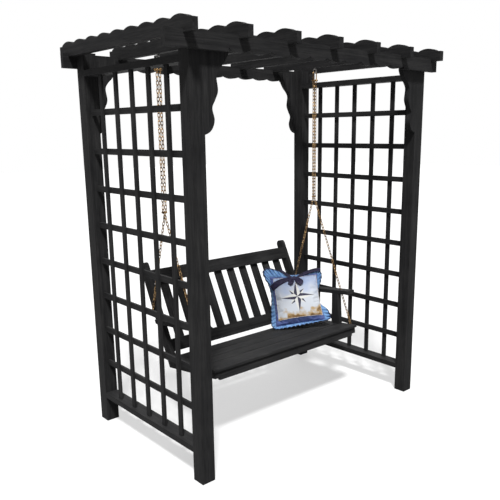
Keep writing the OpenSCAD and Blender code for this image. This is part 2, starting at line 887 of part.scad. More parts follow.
// Joins rows of points, each a closed loop, into a ring or a tube
function ring_faces(rows, per_row) = [
    for (i = [0 : rows - 1], k = [0 : per_row - 1])
        let (a = i * per_row + k, b = i * per_row + (k + 1) % per_row,
             c = ((i + 1) % rows) * per_row + (k + 1) % per_row, d = ((i + 1) % rows) * per_row + k)
        each [[a, b, c], [a, c, d]]
];

// A point of the ruffle at a share of the way round and a distance out from the seam
function round_pillow(t, out) =
    let (side = floor(t * 4) % 4, v = 2 * (t * 4 - floor(t * 4)) - 1,
         soft = 1 - 0.04 * pow(abs(v), 10) * out / ruffle_w,
         x = v * (pillow_half + out) * soft, z = drawn(v, pillow_half + out, pillow_draw) * soft)
    side == 0 ? [x, z] : side == 1 ? [z, -x] : side == 2 ? [-x, -z] : [-z, x];

// The ruffle's cross-section at one station, a loop of four points
function ruffle_station(t) =
    let (wave = sin(360 * 4 * pleats * t), a = round_pillow(t, edge_gap), b = round_pillow(t, ruffle_w))
    [
        [a.x, 0.2 * ruffle_wave * wave - ruffle_t / 2, a.y], [b.x, ruffle_wave * wave - ruffle_t / 2, b.y],
        [b.x, ruffle_wave * wave + ruffle_t / 2, b.y], [a.x, 0.2 * ruffle_wave * wave + ruffle_t / 2, a.y]
    ];

ruffle_count = 4 * pleats * ruffle_steps;
ruffle_pts = [for (i = [0 : ruffle_count - 1]) each ruffle_station(i / ruffle_count)];

// Height of a point of the leaning pillow over its middle, square to the seat
function seat_height(p) =
    (p.x * sin(pillow_roll) + p.z * cos(pillow_roll)) * cos(pillow_lean) - p.y * sin(pillow_lean);

// The pillow stands on the seat with the lowest point of its ruffle
pillow_z = edge_gap - min([for (p = ruffle_pts) seat_height(p)]);

module pillow_place() {
    seat_place() translate([pillow_x, pillow_y, pillow_z]) rotate([0, 0, -pillow_turn])
        rotate([-pillow_lean, 0, 0]) rotate([0, -pillow_roll, 0]) children();
}

// Front and back skins that meet in a seam band
module pillow() {
    n = pillow_grid;
    side_pts = (n + 1) * (n + 1);
    pts = [for (side = [-1, 1], i = [0 : n], k = [0 : n]) on_pillow(2 * i / n - 1, 2 * k / n - 1, side, 0)];
    skin = [for (i = [0 : n - 1], k = [0 : n - 1])
        let (a = i * (n + 1) + k, b = a + 1, c = a + n + 2, d = a + n + 1)
        each [[a, b, c], [a, c, d]]];
    edge = concat(
        [for (k = [0 : n - 1]) k], [for (i = [0 : n - 1]) i * (n + 1) + n],
        [for (k = [0 : n - 1]) side_pts - 1 - k], [for (i = [0 : n - 1]) (n - i) * (n + 1)]);
    band = [for (i = [0 : len(edge) - 1])
        let (a = edge[i], b = edge[(i + 1) % len(edge)])
        each [[b, a, a + side_pts], [b, a + side_pts, b + side_pts]]];
    back = [for (f = skin) [f[0] + side_pts, f[2] + side_pts, f[1] + side_pts]];
    color(cream) pillow_place() polyhedron(pts, concat(skin, back, band));
}

module pillow_ruffle() {
    color(sky) pillow_place() polyhedron(ruffle_pts, ring_faces(ruffle_count, 4));
}

// A ribbon across the top of the pillow, swelling to a bow in the middle
module pillow_ribbon() {
    n = ribbon_grid;
    pts = [for (i = [0 : n])
        let (u = 1.7 * i / n - 0.85, swell = exp(-pow(u / 0.2, 2)), v = 0.62, h = 0.045 + 0.08 * swell)
        each [
            on_pillow(u, v - h, -1, 1.2), on_pillow(u, v, -1, 1.2), on_pillow(u, v + h, -1, 1.2),
            on_pillow(u, v + h, -1, 3.2), on_pillow(u, v, -1, 3.2 + 16 * swell), on_pillow(u, v - h, -1, 3.2)
        ]];
    sides = [for (i = [0 : n - 1], k = [0 : 5])
        let (a = i * 6 + k, b = i * 6 + (k + 1) % 6) each [[a, a + 6, b + 6], [a, b + 6, b]]];
    ends = [for (k = [1 : 4]) each [[0, k, k + 1], [n * 6, n * 6 + k + 1, n * 6 + k]]];
    color(navy) pillow_place() polyhedron(pts, concat(sides, ends));
}

post(-1, -1);  // post_front_left
post(1, -1);  // post_front_right
post(-1, 1);  // post_back_left
post(1, 1);  // post_back_right
header(-1);  // header_front
header(1);  // header_back
rafter(0);  // rafter_1
rafter(1);  // rafter_2
rafter(2);  // rafter_3
rafter(3);  // rafter_4
rafter(4);  // rafter_5
rafter(5);  // rafter_6
rafter(6);  // rafter_7
bracket(-1, -1);  // bracket_front_left
bracket(1, -1);  // bracket_front_right
bracket(-1, 1);  // bracket_back_left
bracket(1, 1);  // bracket_back_right
lattice_rail(-1, low_rail_z);  // bottom_rail_left
lattice_rail(1, low_rail_z);  // bottom_rail_right
lattice_rail(-1, top_rail_z);  // top_rail_left
lattice_rail(1, top_rail_z);  // top_rail_right
uprights(-1);  // uprights_left
uprights(1);  // uprights_right
crossbars(-1);  // crossbars_left
crossbars(1);  // crossbars_right
header_screws();
rafter_screws();
frame_fixings();
hanger_eye(-1);  // hanger_eye_left
hanger_eye(1);  // hanger_eye_right
shackle(-1);  // shackle_left
shackle(1);  // shackle_right
upper_chain(-1);  // upper_chain_left
upper_chain(1);  // upper_chain_right
join_pin(-1);  // join_pin_left
join_pin(1);  // join_pin_right
lower_chain(-1, front_eye);  // front_chain_left
lower_chain(1, front_eye);  // front_chain_right
lower_chain(-1, rear_eye);  // rear_chain_left
lower_chain(1, rear_eye);  // rear_chain_right
seat_eyes();
side_rail(-1);  // side_rail_left
side_rail(1);  // side_rail_right
rear_rail();
centre_support();
apron();
seat_slats();
stile(-1);  // stile_left
stile(1);  // stile_right
back_rail(back_h - back_rail_top_h, back_rail_top_h);  // back_rail_top
back_rail(0, back_rail_low_h);  // back_rail_low
back_slats();
arm(-1);  // arm_left
arm(1);  // arm_right
arm_posts();
seat_fixings();
pillow();
pillow_ruffle();
pillow_ribbon();
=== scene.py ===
import math

import bmesh
import bpy
from mathutils import Matrix, Vector
from mathutils.bvhtree import BVHTree


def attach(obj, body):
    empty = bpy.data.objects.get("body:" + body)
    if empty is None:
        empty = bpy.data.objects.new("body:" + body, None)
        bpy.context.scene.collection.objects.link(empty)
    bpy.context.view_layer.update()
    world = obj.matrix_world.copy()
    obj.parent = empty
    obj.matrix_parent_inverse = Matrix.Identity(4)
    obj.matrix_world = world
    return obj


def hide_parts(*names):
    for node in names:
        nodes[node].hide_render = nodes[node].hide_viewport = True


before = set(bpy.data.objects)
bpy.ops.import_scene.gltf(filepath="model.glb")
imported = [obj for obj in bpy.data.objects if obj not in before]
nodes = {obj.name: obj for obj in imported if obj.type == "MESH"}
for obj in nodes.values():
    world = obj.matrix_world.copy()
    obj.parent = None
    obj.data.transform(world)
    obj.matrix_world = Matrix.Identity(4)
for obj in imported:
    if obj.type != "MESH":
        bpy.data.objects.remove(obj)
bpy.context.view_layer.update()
scene = bpy.context.scene


# Camera, solved from the photograph

cameraLook = {
    "place": (-2.93286, -3.29626, 2.0099),
    "yaw": 41.97,
    "pitch": -12.67,
    "roll": -0.51,
    "focal": 621.265,  # in pixels of the picture
    "middle": (265.262, 271.941),
    "picture": 500,
    "sensor": 36,
    "far": 200,
}


def addCamera(look):
    yaw, pitch, roll = (math.radians(look[key]) for key in ("yaw", "pitch", "roll"))
    flat = math.cos(pitch)
    forward = Vector((math.sin(yaw) * flat, math.cos(yaw) * flat, math.sin(pitch)))
    level = Vector((math.cos(yaw), -math.sin(yaw), 0))
    upright = level.cross(forward)
    across = math.cos(roll) * level + math.sin(roll) * upright
    up = math.cos(roll) * upright - math.sin(roll) * level
    data = bpy.data.cameras.new("view_camera")
    camera = bpy.data.objects.new("view_camera", data)
    scene.collection.objects.link(camera)
    turned = Matrix((across, up, -forward)).transposed().to_4x4()
    turned.translation = look["place"]
    camera.matrix_world = turned
    size = look["picture"]
    data.sensor_width = look["sensor"]
    data.lens = look["focal"] / size * look["sensor"]
    data.shift_x = 0.5 - look["middle"][0] / size
    data.shift_y = look["middle"][1] / size - 0.5
    data.clip_end = look["far"]
    scene.camera = camera


addCamera(cameraLook)
scene.view_settings.view_transform = "Standard"
print("camera made")


# Shader helpers

def makeMaterial(name, **values):
    material = bpy.data.materials.new(name)
    material.use_nodes = True
    shader = material.node_tree.nodes["Principled BSDF"]
    for socket, value in values.items():
        shader.inputs[socket.replace("_", " ")].default_value = value
    return material, material.node_tree, shader


def feed(tree, socket, value):
    if isinstance(value, bpy.types.NodeSocket):
        tree.links.new(value, socket)
    elif socket.type == "RGBA":
        socket.default_value = (*value, 1)
    else:
        socket.default_value = value


def addNode(tree, kind, inputs=None, **settings):
    made = tree.nodes.new(kind)
    for key, value in settings.items():
        setattr(made, key, value)
    for socket, value in (inputs or {}).items():
        feed(tree, made.inputs[socket], value)
    return made


def addMath(tree, operation, first, second=0.0, third=0.0):
    made = addNode(tree, "ShaderNodeMath", {0: first, 1: second, 2: third}, operation=operation)
    return made.outputs[0]


def addNoise(tree, place, **inputs):
    return addNode(tree, "ShaderNodeTexNoise", {"Vector": place, **inputs}).outputs["Fac"]


def addRange(tree, value, start, end):
    return addNode(tree, "ShaderNodeMapRange", {
        "Value": value, "From Min": start[0], "From Max": start[1], "To Min": end[0], "To Max": end[1],
    }).outputs[0]


def addRamp(tree, factor, places, colours):
    ramp = addNode(tree, "ShaderNodeValToRGB", {"Fac": factor})
    elements = ramp.color_ramp.elements
    while len(elements) < len(places):
        elements.new(0.5)
    for element, place, colour in zip(elements, places, colours):
        element.position = place
        element.color = (*colour, 1)
    return ramp.outputs["Color"]


def addMix(tree, factor, first, second, blend="MIX"):
    # sockets 6 and 7 are the two colours
    mix = addNode(tree, "ShaderNodeMix", {0: factor, 6: first, 7: second}, data_type="RGBA", blend_type=blend)
    return mix.outputs[2]


def addBump(tree, shader, height, strength, distance):
    bump = addNode(tree, "ShaderNodeBump", {"Height": height, "Strength": strength, "Distance": distance})
    feed(tree, shader.inputs["Normal"], bump.outputs["Normal"])


def newGroup(name, inputs, outputs):
    group = bpy.data.node_groups.new(name, "ShaderNodeTree")
    for direction, sockets in (("INPUT", inputs), ("OUTPUT", outputs)):
        for socket, kind in sockets:
            group.interface.new_socket(socket, in_out=direction, socket_type="NodeSocket" + kind)
    return group, group.nodes.new("NodeGroupInput"), group.nodes.new("NodeGroupOutput")


def useGroup(tree, group, inputs):
    return addNode(tree, "ShaderNodeGroup", inputs, node_tree=group)


# Timber: a grain that runs along one axis, under a charcoal stain

woodLook = {
    "dark": (0.0135, 0.0135, 0.014),
    "light": (0.0254, 0.0254, 0.026),
    "worn": (0.0367, 0.0362, 0.0362),
    "tonePlaces": (0.36, 0.52, 0.66),
    "fadeColours": ((0.82, 0.82, 0.83), (1.16, 1.15, 1.14)),
    "fadePlaces": (0.3, 0.7),
    "specular": 0.03,
    "height": (0.4, 1.0),
    "rough": (0.5, 0.72),
    "bump": (0.5, 0.0012),
    "streak": {"Scale": 1.0, "Detail": 7.0, "Roughness": 0.62, "Distortion": 0.5},
    "pore": {"Scale": 6.0, "Detail": 3.0, "Roughness": 0.5},
    "patch": {"Scale": 5.0, "Detail": 4.0, "Roughness": 0.55},
    "streakTone": 0.65,
    "poreTone": 0.35,
    "poreHeight": 0.5,
    # how densely the grain lies along x, y and z, and how far the boards lean back
    "grain": {
        "x": ((2.2, 46, 46), 0),
        "y": ((46, 2.2, 46), 0),
        "z": ((46, 46, 2.2), 0),
        "lean": ((46, 46, 2.2), 26.2),
        "fixing": ((60, 60, 60), 0),
    },
}


def makeGrain(look):
    group, start, end = newGroup(
        "wood_grain",
        [("Vector", "Vector"), ("Stretch", "Vector")],
        [("Tone", "Float"), ("Height", "Float"), ("Patch", "Float")],
    )
    place = start.outputs["Vector"]
    drawn = addNode(
        group, "ShaderNodeVectorMath", {0: place, 1: start.outputs["Stretch"]}, operation="MULTIPLY",
    ).outputs[0]
    streak = addNoise(group, drawn, **look["streak"])
    pore = addNoise(group, drawn, **look["pore"])
    base = addMath(group, "MULTIPLY", streak, look["streakTone"])
    feed(group, end.inputs["Tone"], addMath(group, "MULTIPLY_ADD", pore, look["poreTone"], base))
    feed(group, end.inputs["Height"], addMath(group, "MULTIPLY_ADD", pore, look["poreHeight"], streak))
    feed(group, end.inputs["Patch"], addNoise(group, place, **look["patch"]))
    return group


def makeWood(name, look, stretch, lean):
    material, tree, shader = makeMaterial(name, Specular_IOR_Level=look["specular"])
    place = addNode(tree, "ShaderNodeTexCoord").outputs["Object"]
    if lean:
        place = addNode(
            tree, "ShaderNodeVectorRotate", {"Vector": place, "Angle": math.radians(lean)},
            rotation_type="X_AXIS",
        ).outputs[0]
    wood = useGroup(tree, grainGroup, {"Vector": place, "Stretch": stretch}).outputs
    tone = addRamp(tree, wood["Tone"], look["tonePlaces"], (look["dark"], look["light"], look["worn"]))
    faded = addRamp(tree, wood["Patch"], look["fadePlaces"], look["fadeColours"])
    feed(tree, shader.inputs["Base Color"], addMix(tree, 1.0, tone, faded, "MULTIPLY"))
    feed(tree, shader.inputs["Roughness"], addRange(tree, wood["Height"], look["height"], look["rough"]))
    addBump(tree, shader, wood["Height"], *look["bump"])
    return material


def dress(names, material):
    for name in names:
        piece = nodes[name]
        if not piece.material_slots:
            piece.data.materials.append(material)
        for slot in piece.material_slots:
            slot.material = material


def startingWith(*stems):
    return [name for name in nodes if name.startswith(stems)]


woodNodes = {
    "x": startingWith("header_front", "header_back", "rear_rail", "apron", "seat_slats", "back_rail"),
    "y": startingWith("rafter_", "bottom_rail", "top_rail", "crossbars", "side_rail", "arm_left",
                      "arm_right", "centre_support"),
    "z": startingWith("post_", "uprights", "bracket", "arm_posts"),
    "lean": startingWith("stile", "back_slats"),
    # screws come last, because rafter_screws also begins like a rafter
    "fixing": startingWith("header_screws", "rafter_screws", "frame_fixings", "seat_fixings"),
}
grainGroup = makeGrain(woodLook)
for axis, (stretch, lean) in woodLook["grain"].items():
    dress(woodNodes[axis], makeWood("stained_wood_" + axis, woodLook, stretch, lean))
print("timber finished")


# Metal: bright and tarnished spots

metalLook = {
    "brass": {"low": (0.05, 0.028, 0.014), "high": (0.52, 0.33, 0.15), "rough": (0.5, 0.25), "scale": 60},
    "steel": {"low": (0.12, 0.115, 0.11), "high": (0.42, 0.41, 0.4), "rough": (0.55, 0.3), "scale": 90},
    "noise": {"Detail": 5.0, "Roughness": 0.65},
    "tonePlaces": (0.43, 0.58),
    "spread": (0.3, 0.7),
    "bump": (0.25, 0.0006),
}


def makeTarnish(look):
    group, start, end = newGroup(
        "metal_tarnish", [("Vector", "Vector"), ("Scale", "Float")], [("Tarnish", "Float")],
    )
    noise = addNoise(group, start.outputs["Vector"], Scale=start.outputs["Scale"], **look["noise"])
    feed(group, end.inputs["Tarnish"], noise)
    return group


def makeMetal(name, look, finish):
    material, tree, shader = makeMaterial(name, Metallic=1.0)
    place = addNode(tree, "ShaderNodeTexCoord").outputs["Object"]
    tarnish = useGroup(tree, tarnishGroup, {"Vector": place, "Scale": finish["scale"]}).outputs[0]
    tone = addRamp(tree, tarnish, look["tonePlaces"], (finish["low"], finish["high"]))
    feed(tree, shader.inputs["Base Color"], tone)
    feed(tree, shader.inputs["Roughness"], addRange(tree, tarnish, look["spread"], finish["rough"]))
    addBump(tree, shader, tarnish, *look["bump"])
    return material


tarnishGroup = makeTarnish(metalLook)
dress(startingWith("shackle", "upper_chain", "join_pin", "front_chain", "rear_chain"),
      makeMetal("tarnished_brass", metalLook, metalLook["brass"]))
dress(startingWith("hanger_eye", "seat_eyes"), makeMetal("dull_steel", metalLook, metalLook["steel"]))
print("metal finished")


# Cloth

weaveLook = {
    "thread": {"Distortion": 0.8, "Detail": 1.0},
    "soft": {"Scale": 30.0, "Detail": 4.0},
    "softHeight": 3.0,
    "tonePlaces": (0.35, 0.65),
    "bump": (0.35, 0.0005),
}


def makeWeave(look):
    group, start, end = newGroup(
        "cloth_weave", [("Vector", "Vector"), ("Scale", "Float")], [("Height", "Float"), ("Soft", "Float")],
    )
    place = start.outputs["Vector"]
    threads = [
        addNode(
            group, "ShaderNodeTexWave", {"Vector": place, "Scale": start.outputs["Scale"], **look["thread"]},
            wave_type="BANDS", bands_direction=direction,
        ).outputs["Fac"]
        for direction in ("X", "Z")
    ]
    soft = addNoise(group, place, **look["soft"])
    weave = addMath(group, "ADD", *threads)
    feed(group, end.inputs["Height"], addMath(group, "MULTIPLY_ADD", soft, look["softHeight"], weave))
    feed(group, end.inputs["Soft"], soft)
    return group


def addWeave(tree, shader, scale):
    coords = addNode(tree, "ShaderNodeTexCoord").outputs
    weave = useGroup(tree, weaveGroup, {"Vector": coords["Object"], "Scale": scale}).outputs
    addBump(tree, shader, weave["Height"], *weaveLook["bump"])
    return coords["UV"], weave["Soft"]


def makePlainCloth(name, colours, scale, **values):
    material, tree, shader = makeMaterial(name, **values)
    soft = addWeave(tree, shader, scale)[1]
    feed(tree, shader.inputs["Base Color"], addRamp(tree, soft, weaveLook["tonePlaces"], colours))
    return material


weaveGroup = makeWeave(weaveLook)


# Pillow: everything is made in the pillow's own frame, x across, z up and -y its front

pillowLook = {
    "half": 0.183,
    "thick": 0.118,
    # how far the middle of each side is drawn in, and each corner is pulled out
    "draw": {"right": 0.02, "left": 0.012, "up": 0.016, "down": 0.004},
    "pull": {(-1, 1): (-0.014, 0.028), (1, 1): (0.008, 0.006), (-1, -1): (-0.016, -0.018),
             (1, -1): (0.016, -0.012)},
    "seam": 0.006,
    "crown": 0.42,
    "start": 0.86,
    "grid": 28,
    "voxel": 0.0055,
    "pin": 0.007,
    "cap": 0.012,
    "frames": 20,
    "cloth": {
        "quality": 6,
        "mass": 0.2,
        "use_pressure": True,
        "uniform_pressure_force": 4,
        "tension_stiffness": 12,
        "compression_stiffness": 12,
        "bending_stiffness": 0.4,
        "shrink_min": -0.05,
    },
    "seat": ((0, -0.321, 0.538), -6),
    "place": (0.434, 0.371, 0.22075),
    "turn": -44,
    "lean": -21,
    "roll": -4,
    "back": ((0.035, 0.05, 0.17), (0.065, 0.09, 0.26)),
}


def pillowMatrix(look):
    (seatPlace, seatTilt) = look["seat"]
    return (
        Matrix.Translation(seatPlace)
        @ Matrix.Rotation(math.radians(seatTilt), 4, "X")
        @ Matrix.Translation(look["place"])
        @ Matrix.Rotation(math.radians(look["turn"]), 4, "Z")
        @ Matrix.Rotation(math.radians(look["lean"]), 4, "X")
        @ Matrix.Rotation(math.radians(look["roll"]), 4, "Y")
    )


def reachOf(u, v, look):
    draw = look["draw"]
    return (
        look["half"] - draw["right" if u > 0 else "left"] * (1 - v * v),
        look["half"] - draw["up" if v > 0 else "down"] * (1 - u * u),
    )


def pulled(x, z, look):
    u, v = (max(-1, min(1, value / look["half"])) for value in (x, z))
    for (a, b), (dx, dz) in look["pull"].items():
        share = (1 + a * u) * (1 + b * v) / 4
        x, z = x + share * dx, z + share * dz
    return x, z


def meshObject(name, bm, *materials):
    mesh = bpy.data.meshes.new(name)
    bm.to_mesh(mesh)
    bm.free()
    piece = bpy.data.objects.new(name, mesh)
    scene.collection.objects.link(piece)
    for material in materials:
        mesh.materials.append(material)
    for face in mesh.polygons:
        face.use_smooth = True
    return piece


def cushionForm(look):
    bm = bmesh.new()
    count = look["grid"]
    sides = []
    for side in (-1, 1):
        rows = []
        for i in range(count + 1):
            row = []
            for k in range(count + 1):
                u, v = 2 * i / count - 1, 2 * k / count - 1
                rim = max(abs(u), abs(v)) > 0.999
                if rim and sides:  # both sides share the seam
                    row.append(sides[0][i][k])
                    continue
                crown = max((1 - u * u) * (1 - v * v), 0) ** look["crown"]
                depth = look["seam"] / 2 + (look["thick"] - look["seam"]) / 2 * crown
                across, up = reachOf(u, v, look)
                row.append(bm.verts.new((
                    u * across, 0 if rim else side * depth * look["start"], v * up,
                )))
            rows.append(row)
        sides.append(rows)
    for side, rows in enumerate(sides):
        for i in range(count):
            for k in range(count):
                loop = [rows[i][k], rows[i + 1][k], rows[i + 1][k + 1], rows[i][k + 1]]
                bm.faces.new(loop if side == 0 else loop[::-1])
    bmesh.ops.recalc_face_normals(bm, faces=bm.faces)
    return bm


def bakeModifiers(piece):
    graph = bpy.context.evaluated_depsgraph_get()
    mesh = bpy.data.meshes.new_from_object(piece.evaluated_get(graph))
    old = piece.data
    piece.modifiers.clear()
    piece.data = mesh
    bpy.data.meshes.remove(old)


def holdSeam(piece, look):
    seam = piece.vertex_groups.new(name="seam")
    for vertex in piece.data.vertices:
        x, z = vertex.co.x, vertex.co.z
        across, up = reachOf(x / look["half"], z / look["half"], look)
        if min(across - abs(x), up - abs(z)) < look["pin"]:
            seam.add([vertex.index], 1.0, "REPLACE")
    return seam.name


def swell(piece, look):
    remesh = piece.modifiers.new("remesh", "REMESH")
    remesh.mode = "VOXEL"
    remesh.voxel_size = look["voxel"]
    bakeModifiers(piece)
    rest = [vertex.co.copy() for vertex in piece.data.vertices]
    seam = holdSeam(piece, look)
    cloth = piece.modifiers.new("cloth", "CLOTH")
    for key, value in look["cloth"].items():
        setattr(cloth.settings, key, value)
    cloth.settings.vertex_group_mass = seam
    cloth.settings.effector_weights.gravity = 0
    cloth.point_cache.frame_start = 1
    cloth.point_cache.frame_end = look["frames"]
    for step in range(1, look["frames"] + 1):
        scene.frame_set(step)
    bakeModifiers(piece)
    for vertex, before in zip(piece.data.vertices, rest):
        moved = vertex.co - before
        if moved.length > look["cap"]:
            vertex.co = before + moved * (look["cap"] / moved.length)
    scene.frame_set(1)
    smooth = piece.modifiers.new("smooth", "SUBSURF")
    smooth.levels = 1
    smooth.render_levels = 1
    bakeModifiers(piece)


# The printed panel: a pale sky over sand, with an eight-pointed star, inside a blue border

printLook = {
    "middle": (0.03, 0.052),
    "half": (0.89, 0.848),
    "bow": 0.008,
    "weave": 260.0,
    "sky": (0.33, 0.41, 0.60),
    "haze": (0.52, 0.55, 0.60),
    "sand": (0.40, 0.27, 0.12),
    "earth": (0.17, 0.09, 0.03),
    "tonePlaces": (0.0, 0.05, 0.16, 0.5, 0.95),  # earth, sand, haze, haze, sky
    "cloud": {"Scale": 5.0, "Detail": 5.0},
    "cloudShare": 0.9,
    "slope": (-0.05, 0.5, 0.05),  # across, up and at the middle
    "starDark": (0.022, 0.02, 0.045),
    "starLight": (0.62, 0.62, 0.60),
    # reach, waist and turn in degrees: the short points, then the long ones
    "stars": ((0.5, 0.17, 45), (0.78, 0.2, 0)),
    "border": (0.085, 0.125, 0.33),
    "borderDark": (0.04, 0.058, 0.18),
}


def flatMap(piece, half, bow):
    layer = piece.data.uv_layers.new(name="panel")
    for loop in piece.data.loops:
        at = piece.data.vertices[loop.vertex_index].co
        u = at.x / (half - bow * (1 - (at.z / half) ** 2))
        v = at.z / (half - bow * (1 - (at.x / half) ** 2))
        layer.data[loop.index].uv = (u / 2 + 0.5, v / 2 + 0.5)


def makeStar():
    group, start, end = newGroup(
        "compass_star",
        [("Across", "Float"), ("Up", "Float"), ("Reach", "Float"), ("Waist", "Float"), ("Turn", "Float")],
        [("Mask", "Float"), ("Shade", "Float")],
    )
    across, up = start.outputs["Across"], start.outputs["Up"]
    square = addMath(group, "MULTIPLY_ADD", across, across, addMath(group, "MULTIPLY", up, up))
    radius = addMath(group, "SQRT", square)
    angle = addMath(group, "ADD", addMath(group, "ARCTAN2", up, across), start.outputs["Turn"])
    sector = addMath(group, "FRACT", addMath(group, "MULTIPLY", angle, 2 / math.pi))
    off = addMath(group, "ABSOLUTE", addMath(group, "SUBTRACT", sector, 0.5))
    tip = addMath(group, "MULTIPLY", off, 2.0)
    # a straight edge from the point to the waist
    atTip = addMath(group, "DIVIDE", tip, start.outputs["Reach"])
    atWaist = addMath(group, "DIVIDE", addMath(group, "SUBTRACT", 1.0, tip), start.outputs["Waist"])
    edge = addMath(group, "DIVIDE", 1.0, addMath(group, "ADD", atTip, atWaist))
    feed(group, end.inputs["Mask"], addMath(group, "LESS_THAN", radius, edge))
    feed(group, end.inputs["Shade"], addMath(group, "GREATER_THAN", sector, 0.5))
    return group


def makeCover(look):
    material, tree, shader = makeMaterial("printed_cotton", Roughness=0.8, Sheen_Weight=0.15)
    uv, soft = addWeave(tree, shader, look["weave"])
    split = addNode(tree, "ShaderNodeSeparateXYZ", {0: uv}).outputs
    scaled = []
    for axis in (0, 1):
        whole = addMath(tree, "MULTIPLY_ADD", split[axis], 2.0, -1.0)
        off = addMath(tree, "SUBTRACT", whole, look["middle"][axis])
        scaled.append(addMath(tree, "DIVIDE", off, look["half"][axis]))
    across, up = scaled
    reach = addMath(tree, "MAXIMUM", addMath(tree, "ABSOLUTE", across), addMath(tree, "ABSOLUTE", up))
    inside = addMath(tree, "LESS_THAN", reach, 1.0)
    tilt, rise, base = look["slope"]
    slope = addMath(tree, "MULTIPLY_ADD", up, rise, base)
    slope = addMath(tree, "MULTIPLY_ADD", across, tilt, slope)
    cloud = addNoise(tree, uv, **look["cloud"])
    drift = addMath(tree, "MULTIPLY_ADD", cloud, look["cloudShare"], slope)
    tones = [look[tone] for tone in ("earth", "sand", "haze", "haze", "sky")]
    colour = addRamp(tree, drift, look["tonePlaces"], tones)
    star = makeStar()
    for reachOut, waist, turn in look["stars"]:
        shape = useGroup(tree, star, {
            "Across": across, "Up": up, "Reach": reachOut, "Waist": waist, "Turn": math.radians(turn),
        }).outputs
        fill = addMix(tree, shape["Shade"], look["starDark"], look["starLight"])
        colour = addMix(tree, shape["Mask"], colour, fill)
    border = addMix(tree, soft, look["borderDark"], look["border"])
    feed(tree, shader.inputs["Base Color"], addMix(tree, inside, border, colour))
    return material


cushion = meshObject("pillow_cushion", cushionForm(pillowLook))
swell(cushion, pillowLook)
cushion.data.materials.append(makeCover(printLook))
cushion.data.materials.append(makePlainCloth(
    "plain_blue_cotton", pillowLook["back"], printLook["weave"], Roughness=0.8, Sheen_Weight=0.15,
))
for face in cushion.data.polygons:
    face.use_smooth = True
    face.material_index = 1 if face.center.y > 0 else 0
flatMap(cushion, pillowLook["half"], printLook["bow"])
for vertex in cushion.data.vertices:
    vertex.co.x, vertex.co.z = pulled(vertex.co.x, vertex.co.z, pillowLook)
print("cushion sewn")


def surfaceOf(piece):
    bm = bmesh.new()
    bm.from_mesh(piece.data)
    tree = BVHTree.FromBMesh(bm)
    bm.free()
    return tree


cushionSkin = surfaceOf(cushion)


def frontAt(x, z, away=0.5):
    hit = cushionSkin.ray_cast(Vector((x, -away, z)), Vector((0, 1, 0)))[0]
    return hit.y if hit and hit.y < 0 else 0.0


# The corded welt round the panel

weltLook = {
    "radius": 0.0017,
    "sides": 8,
    "steps": 40,
    "proud": 0.6,
    "cloth": ((0.45, 0.42, 0.40), (0.62, 0.58, 0.56)),
    "weave": 500.0,
}


def tubeForm(path, radius, sides):
    bm = bmesh.new()
    rings = []
    count = len(path)
    turns = [2 * math.pi * k / sides for k in range(sides)]
    for i in range(count):
        along = (path[(i + 1) % count] - path[i - 1]).normalized()
        side = along.cross(Vector((0, -1, 0))).normalized()
        out = side.cross(along)
        rings.append([
            bm.verts.new(path[i] + radius * (math.cos(turn) * side + math.sin(turn) * out))
            for turn in turns
        ])
    for i in range(count):
        other = rings[(i + 1) % count]
        for k in range(sides):
            bm.faces.new((rings[i][k], other[k], other[(k + 1) % sides], rings[i][(k + 1) % sides]))
    bmesh.ops.recalc_face_normals(bm, faces=bm.faces)
    return bm


def panelPath(panel, look):
    half, bow = pillowLook["half"], panel["bow"]
    path = []
    corners = ((-1, -1), (1, -1), (1, 1), (-1, 1))
    for index, (a, b) in enumerate(corners):
        c, d = corners[(index + 1) % 4]
        for step in range(look["steps"]):
            share = step / look["steps"]
            u = panel["middle"][0] + panel["half"][0] * (a + (c - a) * share)
            v = panel["middle"][1] + panel["half"][1] * (b + (d - b) * share)
            flat = u * (half - bow * (1 - v * v)), v * (half - bow * (1 - u * u))
            x, z = pulled(*flat, pillowLook)
            path.append(Vector((x, frontAt(x, z) - look["radius"] * look["proud"], z)))
    return path


welt = meshObject(
    "panel_welt", tubeForm(panelPath(printLook, weltLook), weltLook["radius"], weltLook["sides"]),
    makePlainCloth("white_cord", weltLook["cloth"], weltLook["weave"], Roughness=0.7),
)


# Strips of cloth, laid as rows of points

def spline(values, share):
    last = len(values) - 1
    place = min(share * last, last - 1e-6)
    i = int(place)
    t = place - i
    a, b, c, d = (values[max(0, min(last, i + n))] for n in (-1, 0, 1, 2))
    return ((2 * b) + (c - a) * t + (2 * a - 5 * b + 4 * c - d) * t * t
            + (3 * b - a - 3 * c + d) * t ** 3) / 2


def joinRows(bm, layer, rows, closed):
    count = len(rows) if closed else len(rows) - 1
    width = len(rows[0]) - 1
    for i in range(count):
        other = rows[(i + 1) % len(rows)]
        for k in range(width):
            made = bm.faces.new((rows[i][k], rows[i][k + 1], other[k + 1], other[k]))
            for loop, (s, t) in zip(made.loops, ((0, 0), (0, 1), (1, 1), (1, 0))):
                loop[layer].uv = ((i + s) / count, (k + t) / width)


def addThickness(piece, thick):
    solid = piece.modifiers.new("cloth_thickness", "SOLIDIFY")
    solid.thickness = thick
    solid.offset = 0


# The ruffle: a gathered strip that folds back at the middle of each side

